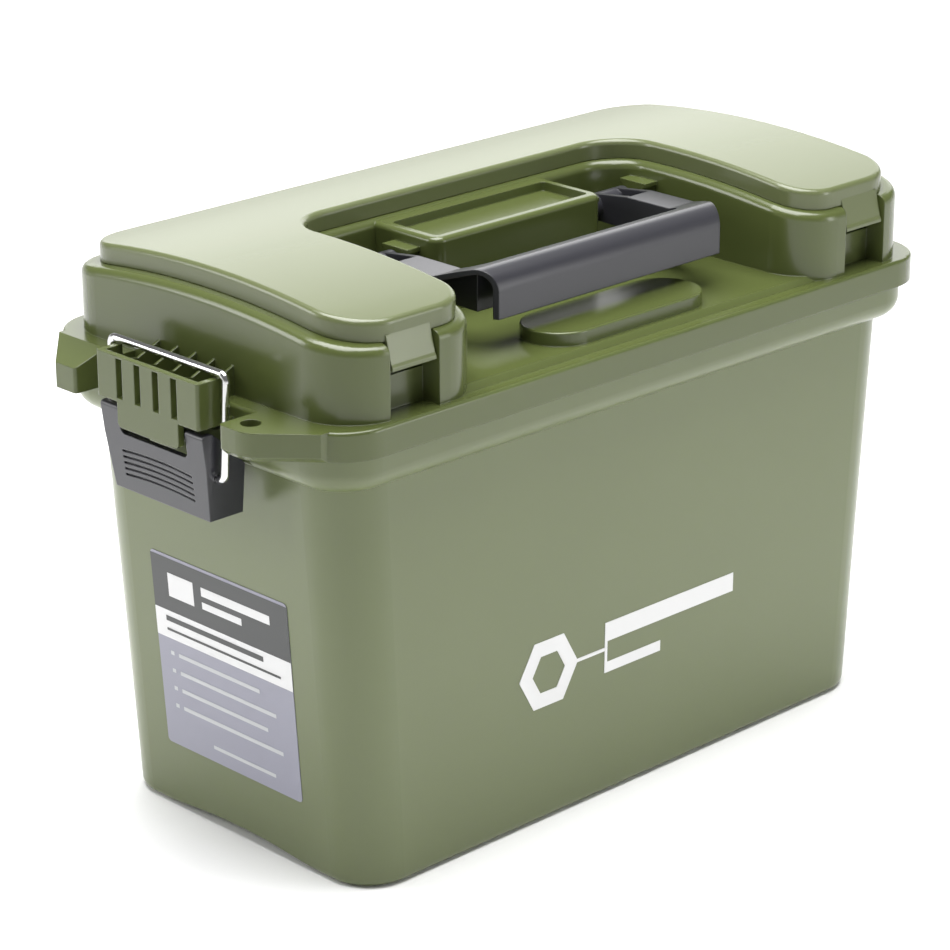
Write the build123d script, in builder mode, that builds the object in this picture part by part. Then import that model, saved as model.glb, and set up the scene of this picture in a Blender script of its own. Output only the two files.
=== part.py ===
from build123d import *

# Rigid moulded dry-storage case: lift-off lid, U-shaped top compartment, carry handle, two wire latches.
# Millimetres, +Z up. The origin is the centre of the footprint on the ground; X runs along the case
# and Y across it, with the plain front at -Y. Both ends (-X left, +X right) carry the same latch.

import os
from math import hypot

os.makedirs("parts", exist_ok=True)

# ---- driving dimensions -------------------------------------------------------------------
SKIN = 3.0                      # general wall thickness
FIT = 0.15                      # gap between parts that only lie against each other
RUNNING = 0.05                  # radial clearance of a turning pin
REACH = 250.0                   # half length of the cutting tools

# case body
FOOT_LENGTH, FOOT_WIDTH, FOOT_RADIUS = 322.0, 163.0, 22.0
FOOT_EDGE = 4.0
SHOULDER_LENGTH, SHOULDER_WIDTH, SHOULDER_RADIUS = 347.0, 168.0, 25.0
SHOULDER_Z = 184.0              # underside of the collar
COLLAR_LENGTH, COLLAR_WIDTH, COLLAR_RADIUS = 362.0, 182.5, 23.5
COLLAR_TOP = 201.0
COLLAR_ROUNDING = 9.0
ARCH_HALF_WIDTH, ARCH_RISE = 56.0, 5.0   # hollow under the floor that fits over a crowned lid
TONGUE_LENGTH, TONGUE_WIDTH, TONGUE_RADIUS = 354.6, 175.2, 23.3
TONGUE_THICK, TONGUE_HEIGHT = 3.0, 4.0
BAY_HALF_WIDTH = 36.0           # recess behind each latch
BAY_X, BAY_BOTTOM = 178.0, 170.0
LUG_Y, LUG_THICK, LUG_RADIUS = 17.7, 5.4, 2.9
LUG_ROOT_LOW, LUG_ROOT_HIGH = 185.5, 198.0

# main lid
RIM_LENGTH, RIM_WIDTH, RIM_RADIUS = 370.0, 190.6, 25.0
RIM_BOTTOM = COLLAR_TOP + FIT
RIM_TOP, RIM_EDGE = 213.5, 1.6
LEDGE_TOP, LEDGE_START = 217.5, 40.0     # the rim is higher along the back
APRON_TOP, APRON_X = 216.0, 118.0
APRON_FRONT, APRON_SLOPE = 88.5, 2.4     # front step of the apron and the slope on it
TOWER_X, TOWER_Y = 177.0, 91.5  # half size of the raised U
WELL_X, WELL_BACK = 98.0, 27.0  # half width of the handle well, and its back wall
TOWER_CORNER, LEG_CORNER, WELL_CORNER = 26.0, 22.0, 20.0
TOWER_EDGE = 4.0
CROWN_TOP = 252.0               # crest of the raised U
CROWN_RADIUS = 525.0
TROUGH_X, TROUGH_FRONT, TROUGH_BACK = 163.5, 76.5, 78.0
TROUGH_WELL_X, TROUGH_WELL_BACK = 109.0, 38.0
TROUGH_WALL = 2.5
TROUGH_FLOOR = 206.0
TROUGH_CORNER, TROUGH_LEG_CORNER, TROUGH_WELL_CORNER = 14.0, 12.0, 22.0
LIP_HEIGHT = 4.0
GROOVE_TOP = 208.8
GROOVE_SIDE = 0.4               # side clearance of the seal groove around the tongue
GROOVE_WALL = 2.5
GROOVE_INSET = TONGUE_THICK + GROOVE_SIDE + GROOVE_WALL
BLOCK_X, BLOCK_FRONT, BLOCK_TOP = 52.0, 11.5, 250.2
BLOCK_RIM, BLOCK_DEPTH, BLOCK_CORNER, BLOCK_EDGE = 5.0, 4.0, 6.0, 2.4
PAD_X, PAD_FRONT, PAD_BACK, PAD_TOP, PAD_CORNER = 49.5, 83.5, 50.0, 222.0, 16.7
PAD_EDGE = 0.8
RECESS_IN, RECESS_OUT = 126.0, 152.8     # snap recess in each leg front
RECESS_PLATE_Y, RECESS_SLOT_Y, RECESS_PLATE_TOP, RECESS_SLOT_HEIGHT = 81.5, 80.0, 228.0, 6.0
RECESS_WALL = 2.5
HASP_TIP_X, HASP_NEAR_Y, HASP_SIDE_Y = 204.5, 46.0, 62.0  # flat ear with the padlock hole
HASP_CORNER_X, HASP_CORNER_Y, EAR_ROOT_X = 184.0, 84.5, 172.0
HASP_NOSE, HASP_ROUNDING, HASP_CHAMFER = 2.8, 14.0, 2.4
HASP_X, HASP_Y, HASP_RADIUS = 194.3, 54.5, 4.25
EAR_TIP_X, EAR_NEAR_Y, EAR_SIDE_Y, EAR_CORNER_Y = 200.5, 51.0, 64.0, 82.5    # sloping rear ear
EAR_TIP_TOP, EAR_NOSE = 212.2, 1.5

# compartment lid
COVER_X, COVER_FRONT, COVER_BACK = 169.5, 87.2, 86.0
COVER_WELL_X, COVER_WELL_BACK = 102.5, 30.5
COVER_CORNER, COVER_LEG_CORNER, COVER_WELL_CORNER = 23.0, 18.0, 24.0
COVER_CREST = 261.0
COVER_SKIN, COVER_EDGE = 2.5, 2.4
TAB_IN, TAB_OUT, TAB_FRONT, TAB_BOTTOM = 127.2, 151.2, 91.0, 233.2
TAB_THICK, TAB_LIP, TAB_FLARE = 2.2, 1.4, 3.0
HINGE_X, HINGE_Y, HINGE_Z = 100.0, 89.2, 248.6
KNUCKLE_RADIUS, KNUCKLE_LENGTH = 2.9, 12.0
HINGE_LUG, HINGE_GAP = 5.0, 0.3
HINGE_PIN_START = HINGE_X - KNUCKLE_LENGTH / 2 - HINGE_GAP - HINGE_LUG
HINGE_PIN_END = HINGE_X + KNUCKLE_LENGTH / 2 + HINGE_GAP + HINGE_LUG - 1
PIN_RADIUS = 1.5

# carry handle
PIVOT_Y, PIVOT_Z = 6.5, 238.0
ARM_IN, ARM_OUT = 64.5, 80.8
ARM_TOP, ARM_PLATE_BACK, ARM_FRONT = 246.5, 14.0, 40.0
GRIP_FRONT, GRIP_BACK, GRIP_BOTTOM = 67.0, 50.0, 230.6
GRIP_BACK_TOP, GRIP_RIDGE = 249.6, 254.0
GRIP_HALF_LENGTH = 68.5         # at its front face
GRIP_INNER_CORNER, GRIP_ROUNDING = 9.0, 9.0
BARREL_IN, BARREL_OUT = 61.0, 84.0
HANDLE_SKIN = 2.5
BARREL_RADIUS, HANDLE_PIN_RADIUS = 6.0, 2.5
BOSS_IN, BOSS_OUT = 59.5, 90.0
BOSS_RADIUS, BOSS_HALF, BOSS_TOP, BOSS_PLATE = 6.6, 8.0, 245.0, 2.0
HANDLE_PIN_START, HANDLE_PIN_END = 52.0, 96.0

# end latches, described on the left end and mirrored
CATCH_X = 203.3                 # outer face of the catch
CATCH_HALF_WIDTH = 32.6
CATCH_BOTTOM, CATCH_TOP = 206.4, 226.1
CATCH_SLOT_BOTTOM, CATCH_SLOT_TOP, CATCH_SLOT = 207.9, 225.2, 3.8
CATCH_SIDE_X, CATCH_FIN_LOW, CATCH_FIN_LOW_X = 191.5, 221.0, 189.0
CATCH_PITCH, CATCH_FIN, CATCH_FLOOR, CATCH_ROUND = 11.7, 1.4, 2.0, 1.5
KEEPER_BOTTOM, KEEPER_HALF_WIDTH, KEEPER_CORNER = 195.4, 19.6, 2.4
PIVOT_X, PIVOT_HEIGHT = 196.6, 199.6     # lever pivot
BAIL_X, BAIL_HEIGHT = 193.8, 184.0       # bail pivot on the lever
BAR_X, BAR_HEIGHT = 191.5, 228.3         # bail crossbar
BAIL_HALF_WIDTH, BAIL_INNER = 36.5, 29.2
WIRE_RADIUS, BAIL_BEND = 1.75, 3.0
LEVER_HALF_WIDTH, LEVER_WALL = 32.8, 3.0
LEVER_TOP_X, LEVER_TOP, LEVER_LOW_X, LEVER_LOW = 201.9, 203.6, 196.9, 165.3
LEVER_BACK = 179.6
LEVER_HEEL = 187.0              # height where the side panels start to slope up to the pivot
LEVER_SHOULDER_X, LEVER_SHOULDER = 192.0, 200.0
LEVER_CAP = 1.0                 # plastic left over the ends of the lever pin
LEVER_TAPER = 2.4               # how much narrower the lever is at its lower edge
LEVER_TAPER_TOP = 190.0
WINDOW_HALF_WIDTH, WINDOW_BOTTOM, WINDOW_CORNER = 21.6, 191.4, 3.0
GROOVE_ROWS, GROOVE_PITCH, GROOVE_LOW = 5, 2.7, 173.2     # finger grooves of the levers
GROOVE_HALF, GROOVE_BOW, GROOVE_WIDTH, GROOVE_DEPTH = 22.0, 0.6, 1.1, 0.9

# flat graphics
LABEL_HALF_WIDTH, LABEL_BOTTOM, LABEL_TOP, LABEL_CORNER = 44.5, 32.3, 125.4, 2.0
FILM, FILM_GAP = 0.25, 0.02


def save(piece, name):
    """Label a finished piece and write it to its own file."""
    piece.part.label = name
    export_step(piece.part, f"parts/{name}.step")


def crown_z(crest, y):
    """Height at y of a crowned surface with its crest at y = 0."""
    return crest - CROWN_RADIUS + (CROWN_RADIUS ** 2 - y ** 2) ** 0.5


def side_plane(y):
    """Plane seen from -Y: local x is +X and local y is +Z."""
    return Plane(origin=(0, y, 0), x_dir=(1, 0, 0), z_dir=(0, -1, 0))


def u_face(x, front, back, well_x, well_back, corner, leg, inner):
    """Face in the shape of a U that opens to -Y, on the ground plane."""
    with BuildSketch() as outline:
        with BuildLine():
            Polyline((-x, -front), (-well_x, -front), (-well_x, well_back), (well_x, well_back),
                     (well_x, -front), (x, -front), (x, back), (-x, back), close=True)
        make_face()
        outer = outline.vertices().filter_by(lambda v: abs(v.X) > x - 0.01)
        fillet(outer, corner)
        tips = outline.vertices().filter_by(lambda v: abs(abs(v.X) - well_x) < 0.01 and v.Y < 0)
        fillet(tips, leg)
        roots = outline.vertices().filter_by(lambda v: abs(abs(v.X) - well_x) < 0.01 and v.Y > 0)
        fillet(roots, inner)
    return outline.sketch


def above_crown(crest):
    """Solid that fills the space above a crowned surface."""
    with BuildPart() as space:
        with BuildSketch(Plane.YZ):
            with Locations((0, crest)):
                Rectangle(260, 120)
            with Locations((0, crest - CROWN_RADIUS)):
                Circle(CROWN_RADIUS, mode=Mode.SUBTRACT)
        extrude(amount=REACH, both=True)
    return space.part


# ---- case body ----------------------------------------------------------------------------
ARCH_RADIUS = (ARCH_HALF_WIDTH ** 2 + ARCH_RISE ** 2) / (2 * ARCH_RISE)
ARCH_AXIS_Z = ARCH_RISE - ARCH_RADIUS

with BuildPart() as cavity:
    with BuildSketch(Plane.XY.offset(SKIN)):
        RectangleRounded(FOOT_LENGTH - 2 * SKIN, FOOT_WIDTH - 2 * SKIN, FOOT_RADIUS - SKIN)
    with BuildSketch(Plane.XY.offset(SHOULDER_Z)):
        RectangleRounded(SHOULDER_LENGTH - 2 * SKIN, SHOULDER_WIDTH - 2 * SKIN, SHOULDER_RADIUS - SKIN)
    loft(ruled=True)
    with BuildSketch(Plane.XY.offset(SHOULDER_Z)):
        RectangleRounded(SHOULDER_LENGTH - 2 * SKIN, SHOULDER_WIDTH - 2 * SKIN, SHOULDER_RADIUS - SKIN)
    extrude(amount=COLLAR_TOP + 2 * TONGUE_HEIGHT - SHOULDER_Z)
    with BuildSketch(Plane.YZ):
        with Locations((0, ARCH_AXIS_Z)):
            Circle(ARCH_RADIUS + SKIN)
    extrude(amount=REACH, both=True, mode=Mode.SUBTRACT)

with BuildPart() as collar:
    with BuildSketch(Plane.XY.offset(SHOULDER_Z)):
        RectangleRounded(COLLAR_LENGTH, COLLAR_WIDTH, COLLAR_RADIUS)
    extrude(amount=COLLAR_TOP - SHOULDER_Z)
    fillet(collar.edges().group_by(Axis.Z)[0], COLLAR_ROUNDING)

with BuildPart() as case_body:
    with BuildSketch(Plane.XY):
        RectangleRounded(FOOT_LENGTH, FOOT_WIDTH, FOOT_RADIUS)
    with BuildSketch(Plane.XY.offset(SHOULDER_Z)):
        RectangleRounded(SHOULDER_LENGTH, SHOULDER_WIDTH, SHOULDER_RADIUS)
    loft(ruled=True)
    fillet(case_body.edges().group_by(Axis.Z)[0], FOOT_EDGE)
    with BuildSketch(Plane.YZ):
        with Locations((0, ARCH_AXIS_Z)):
            Circle(ARCH_RADIUS)
    extrude(amount=REACH, both=True, mode=Mode.SUBTRACT)
    add(collar.part)
    with BuildSketch(Plane.XY.offset(COLLAR_TOP)):
        RectangleRounded(TONGUE_LENGTH, TONGUE_WIDTH, TONGUE_RADIUS)
        RectangleRounded(TONGUE_LENGTH - 2 * TONGUE_THICK, TONGUE_WIDTH - 2 * TONGUE_THICK,
                         TONGUE_RADIUS - TONGUE_THICK, mode=Mode.SUBTRACT)
    extrude(amount=TONGUE_HEIGHT)
    add(cavity.part, mode=Mode.SUBTRACT)
    for side in (-1, 1):
        with BuildSketch(Plane.XY.offset(BAY_BOTTOM)):
            with Locations((side * (BAY_X + 10), 0)):
                Rectangle(20, 2 * BAY_HALF_WIDTH)
        extrude(amount=COLLAR_TOP - BAY_BOTTOM, mode=Mode.SUBTRACT)
        for lug_y in (-LUG_Y, LUG_Y):
            with BuildSketch(side_plane(lug_y)):
                with BuildLine():
                    Polyline((side * PIVOT_X, PIVOT_HEIGHT + LUG_RADIUS), (side * (BAY_X - 1), LUG_ROOT_HIGH),
                             (side * (BAY_X - 1), LUG_ROOT_LOW), (side * PIVOT_X, PIVOT_HEIGHT - LUG_RADIUS),
                             close=True)
                make_face()
                with Locations((side * PIVOT_X, PIVOT_HEIGHT)):
                    Circle(LUG_RADIUS)
            extrude(amount=LUG_THICK / 2, both=True)
        with BuildSketch(side_plane(0)):
            with Locations((side * PIVOT_X, PIVOT_HEIGHT)):
                Circle(PIN_RADIUS + RUNNING)
        extrude(amount=BAY_HALF_WIDTH, both=True, mode=Mode.SUBTRACT)
save(case_body, "case_body")

# ---- main lid -----------------------------------------------------------------------------
TROUGH = u_face(TROUGH_X, TROUGH_FRONT, TROUGH_BACK, TROUGH_WELL_X, TROUGH_WELL_BACK,
                TROUGH_CORNER, TROUGH_LEG_CORNER, TROUGH_WELL_CORNER)
TROUGH_SHELL = u_face(TROUGH_X + TROUGH_WALL, TROUGH_FRONT + TROUGH_WALL, TROUGH_BACK + TROUGH_WALL,
                      TROUGH_WELL_X - TROUGH_WALL, TROUGH_WELL_BACK - TROUGH_WALL,
                      TROUGH_CORNER + TROUGH_WALL, TROUGH_LEG_CORNER + TROUGH_WALL,
                      TROUGH_WELL_CORNER - TROUGH_WALL)
TOWER = u_face(TOWER_X, TOWER_Y, TOWER_Y, WELL_X, WELL_BACK, TOWER_CORNER, LEG_CORNER, WELL_CORNER)
TOWER_VOID = u_face(TOWER_X - SKIN, TOWER_Y - SKIN, TOWER_Y - SKIN, WELL_X + SKIN, WELL_BACK + SKIN,
                    TOWER_CORNER - SKIN, LEG_CORNER - SKIN, WELL_CORNER + SKIN)

with BuildPart() as tower_void:
    with BuildSketch(Plane.XY.offset(APRON_TOP - SKIN - 0.1)):
        add(TOWER_VOID)
    extrude(amount=CROWN_TOP - APRON_TOP + SKIN)
    add(above_crown(CROWN_TOP - SKIN), mode=Mode.SUBTRACT)

with BuildSketch() as hasp_plan:
    with BuildLine():
        Polyline((EAR_ROOT_X, HASP_NEAR_Y), (HASP_TIP_X, HASP_NEAR_Y), (HASP_TIP_X, HASP_SIDE_Y),
                 (HASP_CORNER_X, HASP_CORNER_Y), (EAR_ROOT_X, HASP_CORNER_Y), close=True)
    make_face()
    fillet(hasp_plan.vertices().filter_by(lambda v: v.X > HASP_TIP_X - 1 and v.Y < HASP_NEAR_Y + 1), HASP_NOSE)
    fillet(hasp_plan.vertices().filter_by(lambda v: abs(v.Y - HASP_SIDE_Y) < 1), HASP_ROUNDING)

with BuildPart() as hasp_ear:
    with BuildSketch(Plane.XY.offset(RIM_BOTTOM)):
        add(hasp_plan.sketch)
    extrude(amount=RIM_TOP - RIM_BOTTOM)
    low_face = hasp_ear.faces().sort_by(Axis.Z)[0]
    chamfer(low_face.edges().filter_by(lambda e: e.center().X > RIM_LENGTH / 2 + 1), HASP_CHAMFER)
    with BuildSketch(Plane.XY.offset(RIM_BOTTOM)):
        with Locations((HASP_X, HASP_Y)):
            Circle(HASP_RADIUS)
    extrude(amount=RIM_TOP - RIM_BOTTOM, mode=Mode.SUBTRACT)

with BuildSketch() as ear_plan:
    with BuildLine():
        Polyline((-EAR_ROOT_X, EAR_NEAR_Y), (-EAR_TIP_X, EAR_NEAR_Y), (-EAR_TIP_X, EAR_SIDE_Y),
                 (-HASP_CORNER_X, EAR_CORNER_Y), (-EAR_ROOT_X, EAR_CORNER_Y), close=True)
    make_face()
    fillet(ear_plan.vertices().filter_by(lambda v: v.X < 1 - EAR_TIP_X and v.Y < EAR_NEAR_Y + 1), EAR_NOSE)

with BuildPart() as rear_ear:
    with BuildSketch(Plane.XY.offset(RIM_BOTTOM)):
        add(ear_plan.sketch)
    extrude(amount=LEDGE_TOP - RIM_BOTTOM)
    with BuildSketch(side_plane(0)):
        with BuildLine():
            Polyline((1 - RIM_LENGTH / 2, LEDGE_TOP), (-EAR_TIP_X, EAR_TIP_TOP), (-EAR_TIP_X - 1, EAR_TIP_TOP),
                     (-EAR_TIP_X - 1, LEDGE_TOP + 1), (1 - RIM_LENGTH / 2, LEDGE_TOP + 1), close=True)
        make_face()
    extrude(amount=RIM_WIDTH, both=True, mode=Mode.SUBTRACT)

with BuildPart() as back_ledge:
    with BuildSketch(Plane.XY.offset(RIM_BOTTOM)):
        RectangleRounded(RIM_LENGTH, RIM_WIDTH, RIM_RADIUS)
    extrude(amount=LEDGE_TOP - RIM_BOTTOM)
    fillet(back_ledge.edges().group_by(Axis.Z)[-1], RIM_EDGE)
    with BuildSketch(Plane.XY.offset(RIM_BOTTOM)):
        with Locations((0, LEDGE_START - RIM_WIDTH / 2)):
            Rectangle(RIM_LENGTH + 1, RIM_WIDTH)
        RectangleRounded(2 * (TOWER_X - SKIN), 2 * (TOWER_Y - SKIN), TOWER_CORNER - SKIN)
    extrude(amount=LEDGE_TOP - RIM_BOTTOM, mode=Mode.SUBTRACT)

with BuildPart() as apron:
    with BuildSketch(Plane.XY.offset(RIM_TOP - SKIN)):
        with Locations((0, (WELL_BACK - APRON_FRONT) / 2)):
            Rectangle(2 * APRON_X, WELL_BACK + APRON_FRONT)
    extrude(amount=APRON_TOP - RIM_TOP + SKIN)
    chamfer(apron.faces().sort_by(Axis.Z)[-1].edges().sort_by(Axis.Y)[0], APRON_SLOPE)

with BuildPart() as recess_box:
    with BuildSketch(Plane.XY.offset(RIM_TOP - SKIN)):
        for side in (-1, 1):
            with Locations((side * (RECESS_IN + RECESS_OUT) / 2, -(TOWER_Y - 1 + TROUGH_FRONT + 1) / 2)):
                Rectangle(RECESS_OUT - RECESS_IN + 2 * RECESS_WALL, TOWER_Y - TROUGH_FRONT - 2)
    extrude(amount=CROWN_TOP - RIM_TOP)
    add(above_crown(CROWN_TOP - 1), mode=Mode.SUBTRACT)

with BuildPart() as tower:
    with BuildSketch(Plane.XY.offset(RIM_BOTTOM + SKIN)):
        add(TOWER)
    extrude(amount=CROWN_TOP - RIM_BOTTOM)
    add(above_crown(CROWN_TOP), mode=Mode.SUBTRACT)
    fillet(tower.faces().sort_by(Axis.Z)[-1].outer_wire().edges(), TOWER_EDGE)

with BuildPart() as block:
    with BuildSketch(Plane.XY.offset(APRON_TOP - SKIN)):
        with Locations((0, (WELL_BACK - BLOCK_FRONT + SKIN) / 2)):
            Rectangle(2 * BLOCK_X, WELL_BACK + BLOCK_FRONT + SKIN)
    extrude(amount=BLOCK_TOP - APRON_TOP + SKIN)
    fillet(block.edges().filter_by(Axis.Z).group_by(Axis.Y)[0], BLOCK_CORNER)
    fillet(block.faces().sort_by(Axis.Z)[-1].edges().sort_by(Axis.Y)[:-1], BLOCK_EDGE)

with BuildPart() as handle_boss:
    for start, end in ((BLOCK_X - 1, BOSS_IN), (BOSS_OUT, WELL_X + 1)):
        with BuildSketch(Plane.YZ.offset(start)):
            with Locations((PIVOT_Y, PIVOT_Z)):
                Circle(BOSS_RADIUS)
            with Locations((PIVOT_Y, (PIVOT_Z + BOSS_TOP) / 2)):
                Rectangle(2 * BOSS_RADIUS, BOSS_TOP - PIVOT_Z)
            with Locations((PIVOT_Y, BOSS_TOP - BOSS_PLATE / 2)):
                Rectangle(2 * BOSS_HALF, BOSS_PLATE)
        extrude(amount=end - start)

with BuildSketch() as fin_profile:
    with BuildLine():
        Polyline((TOWER_X - 1, CATCH_BOTTOM), (CATCH_X - 1, CATCH_BOTTOM), (CATCH_X - 1, CATCH_TOP - 2),
                 (CATCH_FIN_LOW_X, CATCH_FIN_LOW), (TOWER_X, CATCH_TOP), (TOWER_X - 1, CATCH_TOP),
                 close=True)
    make_face()

with BuildPart() as catch:
    with BuildSketch(Plane.XY.offset(CATCH_BOTTOM)):
        with Locations(((CATCH_SIDE_X + CATCH_X) / 2, 0)):
            Rectangle(CATCH_X - CATCH_SIDE_X, 2 * CATCH_HALF_WIDTH)
    extrude(amount=CATCH_TOP - CATCH_BOTTOM)
    fillet(catch.edges().filter_by(Axis.Z).group_by(Axis.X)[-1], CATCH_ROUND)
    with BuildSketch(Plane.XY.offset(CATCH_BOTTOM + CATCH_FLOOR)):
        with Locations((CATCH_X - SKIN - 20, 0)):
            Rectangle(40, 2 * (CATCH_HALF_WIDTH - SKIN))
    extrude(amount=CATCH_TOP - CATCH_BOTTOM, mode=Mode.SUBTRACT)
    with BuildSketch(Plane.XY.offset(CATCH_BOTTOM)):
        with Locations(((TOWER_X - 1 + CATCH_SIDE_X + 1) / 2, 0)):
            Rectangle(CATCH_SIDE_X - TOWER_X + 2, 2 * CATCH_HALF_WIDTH)
    extrude(amount=CATCH_FLOOR)
    for fin in range(-2, 3):
        with BuildSketch(side_plane(fin * CATCH_PITCH)):
            add(fin_profile.sketch)
        extrude(amount=CATCH_FIN / 2, both=True)
    with BuildSketch(Plane.YZ.offset(CATCH_X - SKIN - 1)):
        with Locations((0, (CATCH_SLOT_TOP + CATCH_SLOT_BOTTOM) / 2)):
            with GridLocations(CATCH_PITCH, 0, 4, 1):
                Rectangle(CATCH_SLOT, CATCH_SLOT_TOP - CATCH_SLOT_BOTTOM)
    extrude(amount=SKIN + 2, mode=Mode.SUBTRACT)
    with BuildSketch(Plane.YZ.offset(CATCH_X - SKIN)) as keeper_face:
        with Locations((0, (KEEPER_BOTTOM + CATCH_BOTTOM + 1) / 2)):
            Rectangle(2 * KEEPER_HALF_WIDTH, CATCH_BOTTOM + 1 - KEEPER_BOTTOM)
        fillet(keeper_face.vertices().group_by(Axis.Y)[0], KEEPER_CORNER)
    extrude(amount=SKIN)

with BuildPart() as main_lid:
    with BuildSketch(Plane.XY.offset(RIM_BOTTOM)):
        RectangleRounded(RIM_LENGTH, RIM_WIDTH, RIM_RADIUS)
    extrude(amount=RIM_TOP - RIM_BOTTOM)
    fillet(main_lid.edges().group_by(Axis.Z)[-1], RIM_EDGE)
    # padlock ears at the front left and back right corners
    add(hasp_ear.part)
    add(hasp_ear.part.rotate(Axis.Z, 180))
    add(rear_ear.part)
    add(back_ledge.part)
    add(apron.part)
    add(tower.part)
    add(block.part)
    # hollow underside, leaving the sealing rim and the skins
    with BuildSketch(Plane.XY.offset(RIM_BOTTOM)):
        RectangleRounded(TONGUE_LENGTH - 2 * GROOVE_INSET, TONGUE_WIDTH - 2 * GROOVE_INSET, 17)
    extrude(amount=APRON_TOP - SKIN - RIM_BOTTOM, mode=Mode.SUBTRACT)
    with BuildSketch(Plane.XY.offset(APRON_TOP - SKIN - 0.1)):
        with Locations((0, (WELL_BACK - BLOCK_FRONT + 2 * SKIN) / 2)):
            Rectangle(2 * (BLOCK_X - SKIN), WELL_BACK + BLOCK_FRONT)
    extrude(amount=BLOCK_TOP - BLOCK_DEPTH - APRON_TOP + 0.1, mode=Mode.SUBTRACT)
    add(tower_void.part, mode=Mode.SUBTRACT)
    # top compartment
    with BuildSketch(Plane.XY.offset(TROUGH_FLOOR - SKIN)):
        add(TROUGH_SHELL)
    extrude(amount=CROWN_TOP - TROUGH_FLOOR + SKIN + LIP_HEIGHT)
    add(above_crown(CROWN_TOP + LIP_HEIGHT), mode=Mode.SUBTRACT)
    with BuildSketch(Plane.XY.offset(TROUGH_FLOOR)):
        add(TROUGH)
    extrude(amount=CROWN_TOP - TROUGH_FLOOR + 2 * LIP_HEIGHT, mode=Mode.SUBTRACT)
    add(recess_box.part)
    # recess in the block, raised pad in front of it
    with BuildSketch(Plane.XY.offset(BLOCK_TOP - BLOCK_DEPTH)):
        with Locations((0, (WELL_BACK - BLOCK_FRONT) / 2)):
            RectangleRounded(2 * (BLOCK_X - BLOCK_RIM), WELL_BACK + BLOCK_FRONT - 2 * BLOCK_RIM, 2)
    extrude(amount=BLOCK_DEPTH + 1, mode=Mode.SUBTRACT)
    with BuildSketch(Plane.XY.offset(APRON_TOP - 1)):
        with Locations((0, -(PAD_FRONT + PAD_BACK) / 2)):
            RectangleRounded(2 * PAD_X, PAD_FRONT - PAD_BACK, PAD_CORNER)
    extrude(amount=PAD_TOP - APRON_TOP + 1)
    fillet(main_lid.edges().filter_by(lambda e: abs(e.center().Z - PAD_TOP) < 0.01), PAD_EDGE)
    # latch bays, end catches and seal groove
    with BuildSketch(Plane.XY.offset(RIM_BOTTOM)):
        with Locations((BAY_X + 10.3, 0), (-BAY_X - 10.3, 0)):
            Rectangle(20, 2 * BAY_HALF_WIDTH)
    extrude(amount=CATCH_BOTTOM - RIM_BOTTOM, mode=Mode.SUBTRACT)
    add(catch.part)
    add(mirror(catch.part, about=Plane.YZ, mode=Mode.PRIVATE))
    with BuildSketch(Plane.XY.offset(RIM_BOTTOM)):
        RectangleRounded(TONGUE_LENGTH + 2 * GROOVE_SIDE, TONGUE_WIDTH + 2 * GROOVE_SIDE,
                         TONGUE_RADIUS + GROOVE_SIDE)
        RectangleRounded(TONGUE_LENGTH - 2 * (TONGUE_THICK + GROOVE_SIDE),
                         TONGUE_WIDTH - 2 * (TONGUE_THICK + GROOVE_SIDE),
                         TONGUE_RADIUS - TONGUE_THICK - GROOVE_SIDE, mode=Mode.SUBTRACT)
    extrude(amount=GROOVE_TOP - RIM_BOTTOM, mode=Mode.SUBTRACT)
    # snap recesses in the leg fronts
    with BuildSketch(Plane.XY.offset(RIM_TOP)):
        for side in (-1, 1):
            with Locations((side * (RECESS_IN + RECESS_OUT) / 2, -RECESS_PLATE_Y - 10)):
                Rectangle(RECESS_OUT - RECESS_IN, 20)
    extrude(amount=CROWN_TOP - RIM_TOP + 5, mode=Mode.SUBTRACT)
    with BuildSketch(Plane.XY.offset(RECESS_PLATE_TOP)):
        for side in (-1, 1):
            with Locations((side * (RECESS_IN + RECESS_OUT) / 2, -RECESS_SLOT_Y - 10)):
                Rectangle(RECESS_OUT - RECESS_IN, 20)
    extrude(amount=RECESS_SLOT_HEIGHT, mode=Mode.SUBTRACT)
    # handle bosses and hinge lugs
    add(handle_boss.part)
    add(mirror(handle_boss.part, about=Plane.YZ, mode=Mode.PRIVATE))
    for side in (-1, 1):
        with BuildSketch(Plane.YZ.offset(side * HANDLE_PIN_START)):
            with Locations((PIVOT_Y, PIVOT_Z)):
                Circle(HANDLE_PIN_RADIUS)
        extrude(amount=side * (HANDLE_PIN_END - HANDLE_PIN_START), mode=Mode.SUBTRACT)
        for offset in (-1, 1):
            lug_x = side * HINGE_X + offset * (KNUCKLE_LENGTH / 2 + HINGE_GAP + HINGE_LUG / 2)
            with BuildSketch(Plane.YZ.offset(lug_x)):
                with Locations((HINGE_Y, HINGE_Z)):
                    Circle(KNUCKLE_RADIUS)
                with Locations((HINGE_Y - 0.6, HINGE_Z - 3.5)):
                    Rectangle(2 * KNUCKLE_RADIUS - 1.2, 7)
            extrude(amount=HINGE_LUG / 2, both=True)
    with BuildSketch(Plane.YZ):
        with Locations((HINGE_Y, HINGE_Z)):
            Circle(PIN_RADIUS)
    extrude(amount=HINGE_PIN_END, both=True, mode=Mode.SUBTRACT)
save(main_lid, "main_lid")

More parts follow.
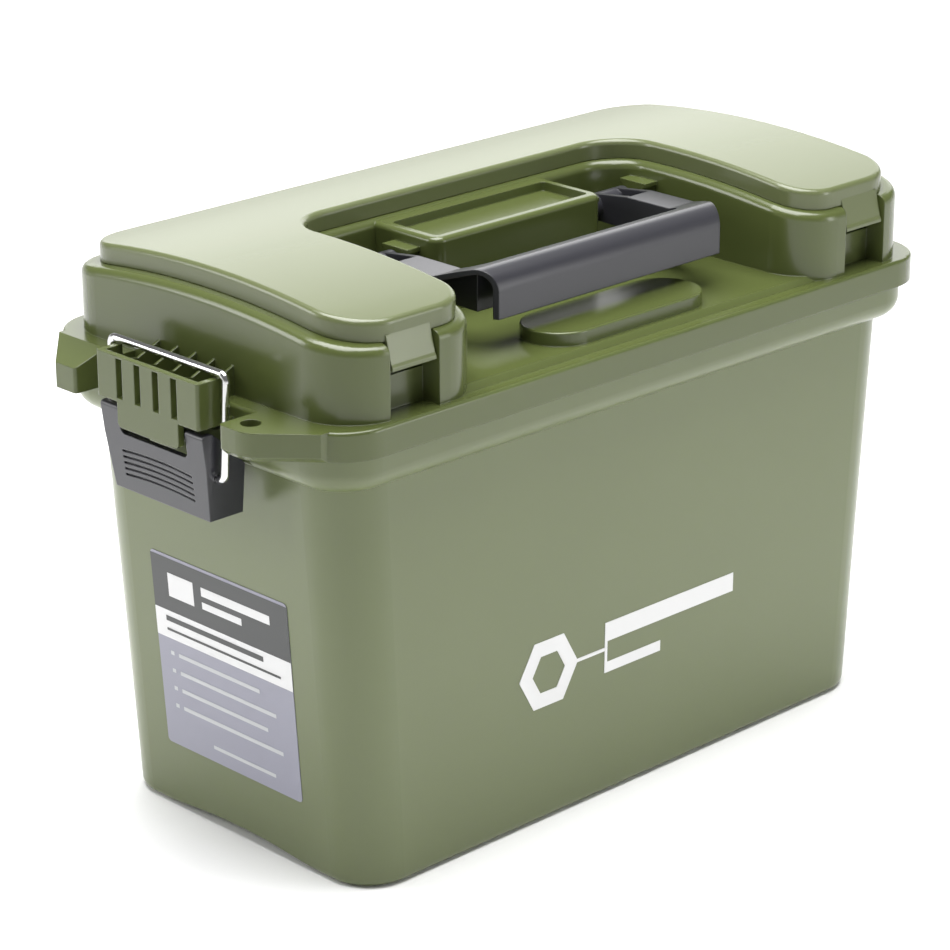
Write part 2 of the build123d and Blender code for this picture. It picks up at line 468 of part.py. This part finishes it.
# ---- seal in the lid groove ---------------------------------------------------------------
SEAL_GAP = 0.05
SEAL_SIDE = GROOVE_SIDE - SEAL_GAP
with BuildPart() as lid_seal:
    with BuildSketch(Plane.XY.offset(COLLAR_TOP + TONGUE_HEIGHT + SEAL_GAP)):
        RectangleRounded(TONGUE_LENGTH + 2 * SEAL_SIDE, TONGUE_WIDTH + 2 * SEAL_SIDE,
                         TONGUE_RADIUS + SEAL_SIDE)
        RectangleRounded(TONGUE_LENGTH - 2 * (TONGUE_THICK + SEAL_SIDE),
                         TONGUE_WIDTH - 2 * (TONGUE_THICK + SEAL_SIDE),
                         TONGUE_RADIUS - TONGUE_THICK - SEAL_SIDE, mode=Mode.SUBTRACT)
    extrude(amount=GROOVE_TOP - COLLAR_TOP - TONGUE_HEIGHT - 2 * SEAL_GAP)
save(lid_seal, "lid_seal")

# ---- compartment lid ----------------------------------------------------------------------
COVER = u_face(COVER_X, COVER_FRONT, COVER_BACK, COVER_WELL_X, COVER_WELL_BACK,
               COVER_CORNER, COVER_LEG_CORNER, COVER_WELL_CORNER)
COVER_VOID = u_face(COVER_X - COVER_SKIN, COVER_FRONT - COVER_SKIN, COVER_BACK - COVER_SKIN,
                    COVER_WELL_X + COVER_SKIN, COVER_WELL_BACK + COVER_SKIN,
                    COVER_CORNER - COVER_SKIN, COVER_LEG_CORNER - COVER_SKIN,
                    COVER_WELL_CORNER + COVER_SKIN)
COVER_START = TAB_BOTTOM

with BuildPart() as cover_void:
    with BuildSketch(Plane.XY.offset(COVER_START)):
        add(COVER_VOID)
    extrude(amount=COVER_CREST - COVER_START)
    add(above_crown(COVER_CREST - COVER_SKIN), mode=Mode.SUBTRACT)

TAB_START = crown_z(CROWN_TOP, COVER_FRONT) + 3
with BuildSketch() as tab_profile:
    with BuildLine():
        Polyline((-COVER_FRONT, TAB_START), (-COVER_FRONT - TAB_FLARE, TAB_BOTTOM + 2 * TAB_LIP),
                 (-TAB_FRONT, TAB_BOTTOM + TAB_LIP), (-TAB_FRONT, TAB_BOTTOM),
                 (-COVER_FRONT - TAB_FLARE + TAB_THICK, TAB_BOTTOM), (-COVER_FRONT + TAB_THICK, TAB_START),
                 close=True)
    make_face()

with BuildPart() as compartment_lid:
    with BuildSketch(Plane.XY.offset(COVER_START)):
        add(COVER)
    extrude(amount=COVER_CREST - COVER_START + 1)
    add(above_crown(COVER_CREST), mode=Mode.SUBTRACT)
    fillet(compartment_lid.faces().sort_by(Axis.Z)[-1].outer_wire().edges(), COVER_EDGE)
    add(cover_void.part, mode=Mode.SUBTRACT)
    add(above_crown(CROWN_TOP + FIT), mode=Mode.INTERSECT)
    for side in (-1, 1):
        with BuildSketch(Plane.YZ.offset(side * (TAB_IN + TAB_OUT) / 2)):
            add(tab_profile.sketch)
        extrude(amount=(TAB_OUT - TAB_IN) / 2, both=True)
        with BuildSketch(Plane.YZ.offset(side * HINGE_X)):
            with Locations((HINGE_Y, HINGE_Z)):
                Circle(KNUCKLE_RADIUS)
            with Locations(((HINGE_Y + COVER_BACK - 2) / 2, HINGE_Z + 0.8)):
                Rectangle(HINGE_Y - COVER_BACK + 2, 4)
        extrude(amount=KNUCKLE_LENGTH / 2, both=True)
        with BuildSketch(Plane.YZ.offset(side * HINGE_X)):
            with Locations((HINGE_Y, HINGE_Z)):
                Circle(PIN_RADIUS + RUNNING)
        extrude(amount=KNUCKLE_LENGTH, both=True, mode=Mode.SUBTRACT)
save(compartment_lid, "compartment_lid")

for side, name in ((-1, "compartment_hinge_pin_left"), (1, "compartment_hinge_pin_right")):
    with BuildPart() as hinge_pin:
        with BuildSketch(Plane.YZ.offset(side * HINGE_PIN_START)):
            with Locations((HINGE_Y, HINGE_Z)):
                Circle(PIN_RADIUS)
        extrude(amount=side * (HINGE_PIN_END - HINGE_PIN_START))
    save(hinge_pin, name)

# ---- carry handle -------------------------------------------------------------------------
with BuildSketch() as handle_plan:
    with BuildLine():
        Polyline((-ARM_OUT, PIVOT_Y), (-ARM_OUT, -ARM_FRONT), (-GRIP_HALF_LENGTH, -GRIP_FRONT),
                 (GRIP_HALF_LENGTH, -GRIP_FRONT), (ARM_OUT, -ARM_FRONT), (ARM_OUT, PIVOT_Y),
                 (ARM_IN, PIVOT_Y), (ARM_IN, -GRIP_BACK), (-ARM_IN, -GRIP_BACK), (-ARM_IN, PIVOT_Y),
                 close=True)
    make_face()
    fillet(handle_plan.vertices().filter_by(lambda v: abs(v.Y + GRIP_BACK) < 0.01), GRIP_INNER_CORNER)

with BuildSketch() as handle_profile:
    with BuildLine():
        Polyline((-GRIP_FRONT, GRIP_BOTTOM), (-GRIP_FRONT, GRIP_RIDGE), (-GRIP_BACK, GRIP_BACK_TOP),
                 (-ARM_FRONT, ARM_TOP), (-ARM_PLATE_BACK, ARM_TOP),
                 (PIVOT_Y, PIVOT_Z + BARREL_RADIUS), (PIVOT_Y, PIVOT_Z - BARREL_RADIUS),
                 (-GRIP_BACK, GRIP_BOTTOM), close=True)
    make_face()
    fillet(handle_profile.vertices().sort_by(Axis.Y)[-1], GRIP_ROUNDING)

with BuildSketch() as handle_void_profile:
    with BuildLine():
        Polyline((-GRIP_FRONT + HANDLE_SKIN, GRIP_BOTTOM - 1), (-GRIP_FRONT + HANDLE_SKIN, GRIP_RIDGE - HANDLE_SKIN),
                 (-GRIP_BACK, GRIP_BACK_TOP - HANDLE_SKIN), (-ARM_FRONT, ARM_TOP - HANDLE_SKIN),
                 (PIVOT_Y, ARM_TOP - HANDLE_SKIN), (PIVOT_Y, GRIP_BOTTOM - 1), close=True)
    make_face()
    fillet(handle_void_profile.vertices().sort_by(Axis.Y)[-1], GRIP_ROUNDING - HANDLE_SKIN)

with BuildPart() as handle_void:
    with BuildSketch(Plane.XY.offset(GRIP_BOTTOM - 1)):
        with Locations((0, -(GRIP_FRONT + GRIP_BACK) / 2)):
            Rectangle(4 * GRIP_HALF_LENGTH, GRIP_FRONT - GRIP_BACK - 2 * HANDLE_SKIN)
        for side in (-1, 1):
            with Locations((side * (ARM_IN + HANDLE_SKIN + GRIP_HALF_LENGTH), -GRIP_BACK)):
                Rectangle(2 * GRIP_HALF_LENGTH, 2 * (GRIP_BACK - ARM_FRONT - 0.5))
            with Locations((side * (ARM_IN + ARM_OUT) / 2, -ARM_FRONT / 2)):
                Rectangle(ARM_OUT - ARM_IN - 2 * HANDLE_SKIN, ARM_FRONT + 10)
    extrude(amount=GRIP_RIDGE - GRIP_BOTTOM + 2)
    with BuildSketch(Plane.YZ):
        add(handle_void_profile.sketch)
    extrude(amount=REACH, both=True, mode=Mode.INTERSECT)

with BuildPart() as carry_handle:
    with BuildSketch(Plane.XY.offset(GRIP_BOTTOM - 1)):
        add(handle_plan.sketch)
    extrude(amount=GRIP_RIDGE - GRIP_BOTTOM + 2)
    with BuildSketch(Plane.YZ):
        add(handle_profile.sketch)
    extrude(amount=REACH, both=True, mode=Mode.INTERSECT)
    add(handle_void.part, mode=Mode.SUBTRACT)
    for side in (-1, 1):
        with BuildSketch(Plane.XY.offset(GRIP_BOTTOM)):
            with Locations((side * (ARM_IN + ARM_OUT) / 2, (PIVOT_Y - ARM_PLATE_BACK) / 2)):
                Rectangle(ARM_OUT - ARM_IN - 2 * HANDLE_SKIN, PIVOT_Y + ARM_PLATE_BACK)
        extrude(amount=ARM_TOP - GRIP_BOTTOM + 1, mode=Mode.SUBTRACT)
        with BuildSketch(Plane.YZ.offset(side * BARREL_IN)):
            with Locations((PIVOT_Y, PIVOT_Z)):
                Circle(BARREL_RADIUS)
        extrude(amount=side * (BARREL_OUT - BARREL_IN))
        with BuildSketch(Plane.YZ.offset(side * (BARREL_IN - 1))):
            with Locations((PIVOT_Y, PIVOT_Z)):
                Circle(HANDLE_PIN_RADIUS + RUNNING)
        extrude(amount=side * (BARREL_OUT - BARREL_IN + 2), mode=Mode.SUBTRACT)
save(carry_handle, "carry_handle")

for side, name in ((-1, "handle_pin_left"), (1, "handle_pin_right")):
    with BuildPart() as handle_pin:
        with BuildSketch(Plane.YZ.offset(side * HANDLE_PIN_START)):
            with Locations((PIVOT_Y, PIVOT_Z)):
                Circle(HANDLE_PIN_RADIUS)
        extrude(amount=side * (HANDLE_PIN_END - HANDLE_PIN_START))
    save(handle_pin, name)

# ---- latch levers -------------------------------------------------------------------------
LEAN = (LEVER_TOP_X - LEVER_LOW_X) / (LEVER_TOP - LEVER_LOW)     # forward lean of the front plate
INNER_HALF = LEVER_HALF_WIDTH - LEVER_WALL
BELOW = LEVER_LOW - 3


def front_x(z):
    """Distance of the lever's front face from the middle at height z."""
    return LEVER_LOW_X + LEAN * (z - LEVER_LOW)


def taper_wedges(half_width):
    """Sketch of the two wedges that narrow the lever towards its lower edge."""
    narrow = half_width - LEVER_TAPER * (LEVER_TAPER_TOP - BELOW) / (LEVER_TAPER_TOP - LEVER_LOW)
    with BuildSketch() as wedges:
        for sign in (-1, 1):
            with BuildLine():
                Polyline((sign * half_width, LEVER_TAPER_TOP), (sign * narrow, BELOW),
                         (sign * (half_width + 5), BELOW), (sign * (half_width + 5), LEVER_TAPER_TOP),
                         close=True)
            make_face()
    return wedges.sketch


with BuildPart() as lever_void:
    with BuildSketch(side_plane(0)):
        with BuildLine():
            Polyline((front_x(LEVER_TOP + 5) - LEVER_WALL, LEVER_TOP + 5), (front_x(BELOW) - LEVER_WALL, BELOW),
                     (LEVER_BACK - 5, BELOW), (LEVER_BACK - 5, LEVER_TOP + 5), close=True)
        make_face()
    extrude(amount=INNER_HALF, both=True)
    with BuildSketch(Plane.YZ):
        add(taper_wedges(INNER_HALF))
    extrude(amount=REACH, mode=Mode.SUBTRACT)

with BuildSketch() as groove:
    SlotArc(ThreePointArc((-GROOVE_HALF, -GROOVE_BOW), (0, GROOVE_BOW), (GROOVE_HALF, -GROOVE_BOW)),
            GROOVE_WIDTH)

with BuildPart() as latch_lever_right:
    with BuildSketch(side_plane(0)) as lever_side:
        with BuildLine():
            Polyline((LEVER_TOP_X, LEVER_TOP), (PIVOT_X, LEVER_TOP), (LEVER_SHOULDER_X, LEVER_SHOULDER),
                     (LEVER_BACK, LEVER_HEEL),
                     (LEVER_BACK, LEVER_LOW), (LEVER_LOW_X, LEVER_LOW), close=True)
        make_face()
        fillet(lever_side.vertices().filter_by(lambda v: v.X > LEVER_TOP_X - 0.1), 1.6)
    extrude(amount=LEVER_HALF_WIDTH, both=True)
    with BuildSketch(Plane.YZ):
        add(taper_wedges(LEVER_HALF_WIDTH))
    extrude(amount=REACH, mode=Mode.SUBTRACT)
    add(lever_void.part, mode=Mode.SUBTRACT)
    with BuildSketch(Plane.YZ.offset(LEVER_BACK)) as window:
        with Locations((0, (WINDOW_BOTTOM + LEVER_TOP + 5) / 2)):
            Rectangle(2 * WINDOW_HALF_WIDTH, LEVER_TOP + 5 - WINDOW_BOTTOM)
        fillet(window.vertices().group_by(Axis.Y)[0], WINDOW_CORNER)
    extrude(amount=40, mode=Mode.SUBTRACT)
    with BuildSketch(side_plane(0)):
        with Locations((PIVOT_X, PIVOT_HEIGHT)):
            Circle(PIN_RADIUS + RUNNING)
    extrude(amount=LEVER_HALF_WIDTH - LEVER_CAP, both=True, mode=Mode.SUBTRACT)
    with BuildSketch(side_plane(0)):
        with Locations((BAIL_X, BAIL_HEIGHT)):
            Circle(WIRE_RADIUS + RUNNING)
    extrude(amount=LEVER_HALF_WIDTH + 1, both=True, mode=Mode.SUBTRACT)
    for row in range(GROOVE_ROWS):
        row_z = GROOVE_LOW + row * GROOVE_PITCH
        row_plane = Plane(origin=(front_x(row_z), 0, row_z), x_dir=(0, 1, 0), z_dir=(1, 0, -LEAN))
        with BuildSketch(row_plane):
            add(groove.sketch)
        extrude(amount=-GROOVE_DEPTH, mode=Mode.SUBTRACT)
save(latch_lever_right, "latch_lever_right")

with BuildPart() as latch_lever_left:
    add(mirror(latch_lever_right.part, about=Plane.YZ, mode=Mode.PRIVATE))
save(latch_lever_left, "latch_lever_left")

for side, name in ((-1, "lever_pin_left"), (1, "lever_pin_right")):
    with BuildPart() as lever_pin:
        with BuildSketch(side_plane(0)):
            with Locations((side * PIVOT_X, PIVOT_HEIGHT)):
                Circle(PIN_RADIUS)
        extrude(amount=LEVER_HALF_WIDTH - LEVER_CAP - FIT, both=True)
    save(lever_pin, name)

# ---- wire bails ---------------------------------------------------------------------------
BAIL_LENGTH = hypot(BAR_X - BAIL_X, BAR_HEIGHT - BAIL_HEIGHT)
for side, name in ((-1, "latch_bail_left"), (1, "latch_bail_right")):
    bail_plane = Plane(origin=(side * BAIL_X, 0, BAIL_HEIGHT), x_dir=(0, 1, 0),
                       z_dir=(BAR_HEIGHT - BAIL_HEIGHT, 0, side * (BAIL_X - BAR_X)))
    with BuildPart() as latch_bail:
        with BuildLine(bail_plane) as wire_path:
            FilletPolyline((-BAIL_INNER, 0), (-BAIL_HALF_WIDTH, 0), (-BAIL_HALF_WIDTH, BAIL_LENGTH),
                           (BAIL_HALF_WIDTH, BAIL_LENGTH), (BAIL_HALF_WIDTH, 0), (BAIL_INNER, 0),
                           radius=BAIL_BEND)
        with BuildSketch(Plane(origin=wire_path.line @ 0, z_dir=wire_path.line % 0)):
            Circle(WIRE_RADIUS)
        sweep()
    save(latch_bail, name)

# ---- end label and front mark -------------------------------------------------------------
END_SLOPE = (SHOULDER_LENGTH - FOOT_LENGTH) / 2 / SHOULDER_Z
SIDE_SLOPE = (SHOULDER_WIDTH - FOOT_WIDTH) / 2 / SHOULDER_Z
LABEL_MIDDLE = (LABEL_BOTTOM + LABEL_TOP) / 2
with BuildPart() as end_label:
    label_x = FOOT_LENGTH / 2 + END_SLOPE * LABEL_MIDDLE + FILM_GAP
    with BuildSketch(Plane(origin=(-label_x, 0, LABEL_MIDDLE), x_dir=(0, -1, 0), z_dir=(-1, 0, -END_SLOPE))):
        RectangleRounded(2 * LABEL_HALF_WIDTH, LABEL_TOP - LABEL_BOTTOM, LABEL_CORNER)
    extrude(amount=FILM)
save(end_label, "end_label")

MARK_Z = 71.0
with BuildPart() as front_mark:
    mark_y = FOOT_WIDTH / 2 + SIDE_SLOPE * MARK_Z + FILM_GAP
    with BuildSketch(Plane(origin=(0, -mark_y, MARK_Z), x_dir=(1, 0, 0), z_dir=(0, -1, -SIDE_SLOPE))):
        with Locations((-54, 0)):
            RegularPolygon(18, 6)
            RegularPolygon(10, 6, mode=Mode.SUBTRACT)
        with Locations((23, 8)):
            Rectangle(84, 9)
        with Locations((-1, -9)):
            Rectangle(36, 5)
        with Locations((-18.2, 0)):
            Rectangle(1.6, 23)
        with Locations((-27, 0)):
            Rectangle(19, 1.6)
    extrude(amount=FILM)
save(front_mark, "front_mark")
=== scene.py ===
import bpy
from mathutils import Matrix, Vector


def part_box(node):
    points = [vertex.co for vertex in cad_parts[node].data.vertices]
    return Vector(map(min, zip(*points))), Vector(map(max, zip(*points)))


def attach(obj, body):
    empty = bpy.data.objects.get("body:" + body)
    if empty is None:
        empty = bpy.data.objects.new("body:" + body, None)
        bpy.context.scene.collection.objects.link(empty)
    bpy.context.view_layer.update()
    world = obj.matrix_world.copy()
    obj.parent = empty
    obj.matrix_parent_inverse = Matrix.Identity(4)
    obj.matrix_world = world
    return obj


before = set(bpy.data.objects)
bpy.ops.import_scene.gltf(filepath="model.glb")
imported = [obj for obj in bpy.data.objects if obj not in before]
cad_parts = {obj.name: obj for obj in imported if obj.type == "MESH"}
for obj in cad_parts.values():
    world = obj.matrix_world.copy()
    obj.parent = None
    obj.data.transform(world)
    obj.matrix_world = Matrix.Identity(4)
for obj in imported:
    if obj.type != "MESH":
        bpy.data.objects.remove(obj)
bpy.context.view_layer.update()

import math

import bpy
from mathutils import Vector

# ---- driving values, in metres ------------------------------------------------------------
EDGE_ROUNDING, EDGE_SAMPLES = 0.0007, 6       # how far the shader softens moulded edges
GRAIN_SCALE, GRAIN_DETAIL = 900.0, 3.0        # fine grain of the moulded surface
GRAIN_STRENGTH, GRAIN_HEIGHT = 0.35, 0.00004
MOTTLE_SCALE, MOTTLE_DETAIL = 9.0, 2.0        # cloudy variation of the plastic's colour
PLASTIC_IOR = 1.49

FILM_THICKNESS = 0.00025                      # of the end label
FILM_LIFT = 0.00008                           # height of each print layer above the label film

FLOOR_REACH, FLOOR_DROP = 6.0, 0.0004         # half size of the floor, and its gap under the case
GLOW = 0.85                                   # how strongly the far floor glows
GLOW_START, GLOW_END = 1.0, 2.4               # where the glow starts and where it is full
SKY = 0.22                                    # brightness of the sky
SKY_BAND, SKY_FADE = 0.06, 0.10               # top of its white band, and the fade above it
MIDDLE = (0.0, 0.0, 0.13)                     # middle of the closed case, where most lights aim

SENSOR_WIDTH, FOCAL_LENGTH = 36.0, 126.7      # millimetres
AZIMUTH, ELEVATION, ROLL = -44.07, 20.53, -0.22     # of the camera, in degrees
CAMERA_DISTANCE = 1.5055
CAMERA_TARGET = (-0.01798, 0.0, 0.1306)

# moulded and printed colours, linear
OLIVE_BODY = (0.106, 0.127, 0.053)
OLIVE_LID = (0.066, 0.082, 0.024)
OLIVE_COVER = (0.094, 0.110, 0.047)
GREY = (0.026, 0.026, 0.031)
BRIGHT_STEEL = (0.62, 0.62, 0.62)
STEEL = (0.55, 0.55, 0.56)
RUBBER_BLACK = (0.02, 0.02, 0.02)
LABEL_GREY = (0.225, 0.225, 0.275)
LABEL_DARK = (0.020, 0.022, 0.022)
PRINT_LIGHT = (0.42, 0.43, 0.44)
WHITE = (0.62, 0.62, 0.62)
FLOOR_WHITE = (0.95, 0.95, 0.95)

# Printed areas of the end label. A rectangle is its start and end across the label, from the
# left edge for someone facing it, then its start and end up the label, all in shares of the label.
DARK_BAND = (0.0, 1.0, 0.71, 0.985)
WHITE_BAND = (0.0, 1.0, 0.565, 0.71)
TITLE_BARS = [(0.12, 0.31, 0.79, 0.91), (0.37, 0.87, 0.86, 0.905), (0.37, 0.66, 0.795, 0.83)]
WHITE_BAND_BARS = [(0.08, 0.80, 0.655, 0.682), (0.08, 0.92, 0.605, 0.618)]
FOOT_BAR = (0.36, 0.82, 0.070, 0.088)
BULLET_START, BULLET_END = 0.09, 0.115        # square mark before each small bar
BAR_START, BAR_LENGTHS = 0.15, (0.60, 0.71, 0.64, 0.74)
BAR_TOP, BAR_PITCH, BAR_HEIGHT = 0.50, 0.092, 0.020


# ---- materials ------------------------------------------------------------------------------
def new_material(name):
    """Node material holding only a Principled shader, and that shader."""
    material = bpy.data.materials.new(name)
    material.use_nodes = True
    return material, material.node_tree.nodes["Principled BSDF"]


def noise_texture(tree, scale, detail):
    """Noise laid out in the object's own coordinates."""
    coords = tree.nodes.new("ShaderNodeTexCoord")
    noise = tree.nodes.new("ShaderNodeTexNoise")
    noise.inputs["Scale"].default_value = scale
    noise.inputs["Detail"].default_value = detail
    tree.links.new(coords.outputs["Object"], noise.inputs["Vector"])
    return noise


def moulded_surface(tree, shader):
    """Round moulded edges in shading, and give the surface a fine grain."""
    bevel = tree.nodes.new("ShaderNodeBevel")
    bevel.samples = EDGE_SAMPLES
    bevel.inputs["Radius"].default_value = EDGE_ROUNDING
    noise = noise_texture(tree, GRAIN_SCALE, GRAIN_DETAIL)
    bump = tree.nodes.new("ShaderNodeBump")
    bump.inputs["Strength"].default_value = GRAIN_STRENGTH
    bump.inputs["Distance"].default_value = GRAIN_HEIGHT
    tree.links.new(noise.outputs["Fac"], bump.inputs["Height"])
    tree.links.new(bump.outputs["Normal"], bevel.inputs["Normal"])
    tree.links.new(bevel.outputs["Normal"], shader.inputs["Normal"])


def plastic(name, colour, roughness, mottle=0.06):
    """Moulded plastic: slight colour variation, satin gloss, grain and softened edges."""
    material, shader = new_material(name)
    tree = material.node_tree
    noise = noise_texture(tree, MOTTLE_SCALE, MOTTLE_DETAIL)
    ramp = tree.nodes.new("ShaderNodeValToRGB")
    for element, share in zip(ramp.color_ramp.elements, (1 - mottle, 1 + mottle)):
        element.color = (*[c * share for c in colour], 1)
    tree.links.new(noise.outputs["Fac"], ramp.inputs["Fac"])
    tree.links.new(ramp.outputs["Color"], shader.inputs["Base Color"])
    shader.inputs["Roughness"].default_value = roughness
    shader.inputs["IOR"].default_value = PLASTIC_IOR
    moulded_surface(tree, shader)
    return material


def even_colour(name, colour, roughness, metallic=0.0):
    """Even colour for rubber, film and ink, and for drawn steel where metallic is 1."""
    material, shader = new_material(name)
    shader.inputs["Base Color"].default_value = (*colour, 1)
    shader.inputs["Metallic"].default_value = metallic
    shader.inputs["Roughness"].default_value = roughness
    return material


BODY_PLASTIC = plastic("olive body plastic", OLIVE_BODY, 0.28)
LID_PLASTIC = plastic("olive lid plastic", OLIVE_LID, 0.22)
COVER_PLASTIC = plastic("olive cover plastic", OLIVE_COVER, 0.24)
GREY_PLASTIC = plastic("dark grey plastic", GREY, 0.28, mottle=0.03)
WIRE = even_colour("bright wire", BRIGHT_STEEL, 0.14, metallic=1.0)
PIN_STEEL = even_colour("pin steel", STEEL, 0.30, metallic=1.0)
RUBBER = even_colour("seal rubber", RUBBER_BLACK, 0.8)
LABEL_FILM = even_colour("label film", LABEL_GREY, 0.32)
PRINT_DARK = even_colour("label dark print", LABEL_DARK, 0.30)
PRINT_WHITE = even_colour("label white print", WHITE, 0.35)
PRINT_PALE = even_colour("label pale print", PRINT_LIGHT, 0.35)
MARK_INK = even_colour("white ink", WHITE, 0.45)

MATERIALS = {
    "case_body": BODY_PLASTIC,
    "main_lid": LID_PLASTIC,
    "compartment_lid": COVER_PLASTIC,
    "carry_handle": GREY_PLASTIC,
    "lid_seal": RUBBER,
    "end_label": LABEL_FILM,
    "front_mark": MARK_INK,
}
for end in ("left", "right"):
    MATERIALS["latch_lever_" + end] = GREY_PLASTIC
    MATERIALS["latch_bail_" + end] = WIRE
    MATERIALS["lever_pin_" + end] = PIN_STEEL
    MATERIALS["handle_pin_" + end] = PIN_STEEL
    MATERIALS["compartment_hinge_pin_" + end] = PIN_STEEL

for node, material in MATERIALS.items():
    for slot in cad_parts[node].material_slots:
        slot.material = material


def add_object(name, data):
    """New object in the scene that shows a mesh, a light or a camera."""
    holder = bpy.data.objects.new(name, data)
    bpy.context.collection.objects.link(holder)
    return holder


def add_faces(name, corners, faces, material):
    """New mesh object of flat faces in one material."""
    mesh = bpy.data.meshes.new(name)
    mesh.from_pydata(corners, [], faces)
    mesh.materials.append(material)
    return add_object(name, mesh)


# ---- printed areas of the end label ---------------------------------------------------------
def label_prints():
    """Generic bands and bars laid on the film of the end label."""
    low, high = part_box("end_label")
    height = high.z - low.z
    lean = (high.x - low.x - FILM_THICKNESS) / height      # the label leans out towards its top

    def film_x(z, layer):
        """X of a print layer over the film's outer face at height z."""
        return low.x + (high.z - z) * lean - layer * FILM_LIFT

    def panel(name, rectangles, material, layer):
        """One piece of flat printed rectangles."""
        corners = []
        faces = []
        for y0, y1, z0, z1 in rectangles:
            first = len(corners)
            for share_y, share_z in ((y0, z0), (y1, z0), (y1, z1), (y0, z1)):
                y = high.y + (low.y - high.y) * share_y
                z = low.z + height * share_z
                corners.append((film_x(z, layer), y, z))
            faces.append((first, first + 1, first + 2, first + 3))
        piece = add_faces(name, corners, faces, material)
        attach(piece, "case")

    small_bars = [FOOT_BAR]
    for row, length in enumerate(BAR_LENGTHS):
        top = BAR_TOP - row * BAR_PITCH
        small_bars.append((BULLET_START, BULLET_END, top - BAR_HEIGHT, top))
        small_bars.append((BAR_START, BAR_START + length, top - BAR_HEIGHT, top))

    panel("label_dark_band", [DARK_BAND], PRINT_DARK, 1)
    panel("label_white_band", [WHITE_BAND], PRINT_WHITE, 1)
    panel("label_title_bars", TITLE_BARS, PRINT_WHITE, 2)
    panel("label_white_band_bars", WHITE_BAND_BARS, PRINT_DARK, 2)
    panel("label_small_bars", small_bars, PRINT_PALE, 1)


label_prints()


# ---- studio ---------------------------------------------------------------------------------
def floor_material():
    """White that glows softly far from the object, so that the floor stays white to its end."""
    material = even_colour("floor white", FLOOR_WHITE, 0.9)
    tree = material.node_tree
    shader = tree.nodes["Principled BSDF"]
    coords = tree.nodes.new("ShaderNodeTexCoord")
    length = tree.nodes.new("ShaderNodeVectorMath")
    length.operation = "LENGTH"
    glow = tree.nodes.new("ShaderNodeMapRange")
    glow.inputs["From Min"].default_value = GLOW_START
    glow.inputs["From Max"].default_value = GLOW_END
    glow.inputs["To Min"].default_value = 0.0
    glow.inputs["To Max"].default_value = GLOW
    shader.inputs["Emission Color"].default_value = (1.0, 1.0, 1.0, 1)
    tree.links.new(coords.outputs["Object"], length.inputs[0])
    tree.links.new(length.outputs["Value"], glow.inputs["Value"])
    tree.links.new(glow.outputs["Result"], shader.inputs["Emission Strength"])
    return material


def studio_floor():
    """Large white floor just under the case."""
    corners = [(-FLOOR_REACH, -FLOOR_REACH, 0), (FLOOR_REACH, -FLOOR_REACH, 0),
               (FLOOR_REACH, FLOOR_REACH, 0), (-FLOOR_REACH, FLOOR_REACH, 0)]
    floor = add_faces("floor", corners, [(0, 1, 2, 3)], floor_material())
    floor.location.z = -FLOOR_DROP


def studio_sky():
    """Dim sky with a white band along the horizon."""
    world = bpy.data.worlds.new("studio")
    bpy.context.scene.world = world
    world.use_nodes = True
    tree = world.node_tree
    direction = tree.nodes.new("ShaderNodeTexCoord")
    split = tree.nodes.new("ShaderNodeSeparateXYZ")
    ramp = tree.nodes.new("ShaderNodeValToRGB")
    ramp.color_ramp.elements[0].position = SKY_BAND
    ramp.color_ramp.elements[0].color = (1.0, 1.0, 1.0, 1)
    ramp.color_ramp.elements[1].position = SKY_BAND + SKY_FADE
    ramp.color_ramp.elements[1].color = (SKY, SKY, SKY, 1)
    tree.links.new(direction.outputs["Generated"], split.inputs["Vector"])
    tree.links.new(split.outputs["Z"], ramp.inputs["Fac"])
    tree.links.new(ramp.outputs["Color"], tree.nodes["Background"].inputs["Color"])


def area_light(name, size, location, target, power):
    """Soft rectangular light aimed at a point, its power in watts."""
    lamp = bpy.data.lights.new(name, "AREA")
    lamp.shape = "RECTANGLE"
    lamp.size, lamp.size_y = size
    lamp.energy = power
    holder = add_object(name, lamp)
    holder.location = location
    aim = Vector(target) - Vector(location)
    holder.rotation_euler = aim.to_track_quat("-Z", "Y").to_euler()


def studio_lights():
    """Four soft lights, the strongest of them overhead."""
    area_light("overhead", size=(1.2, 1.1), location=(0.0, 0.0, 1.4), target=MIDDLE, power=46)
    area_light("back", size=(2.4, 1.0), location=(1.45, 1.4, 0.95), target=MIDDLE, power=15)
    area_light("front", size=(0.5, 1.0), location=(0.9, -1.6, 0.55), target=MIDDLE, power=9)
    area_light("left", size=(0.5, 0.9), location=(-1.25, 1.0, 0.75), target=(-0.5, 0.2, 0.0),
               power=11)


def photo_camera():
    """Camera at the usual product angle: over the left front corner."""
    lens = bpy.data.cameras.new("camera")
    lens.sensor_width = SENSOR_WIDTH
    lens.lens = FOCAL_LENGTH
    camera = add_object("camera", lens)
    azimuth, elevation = math.radians(AZIMUTH), math.radians(ELEVATION)
    back = Vector((math.sin(azimuth) * math.cos(elevation),
                   -math.cos(azimuth) * math.cos(elevation), math.sin(elevation)))
    camera.location = Vector(CAMERA_TARGET) + back * CAMERA_DISTANCE
    camera.rotation_euler = (-back).to_track_quat("-Z", "Y").to_matrix().to_4x4().to_euler()
    camera.rotation_euler.rotate_axis("Z", math.radians(ROLL))
    bpy.context.scene.camera = camera


studio_floor()
studio_sky()
studio_lights()
photo_camera()
bpy.context.scene.view_settings.view_transform = "Standard"
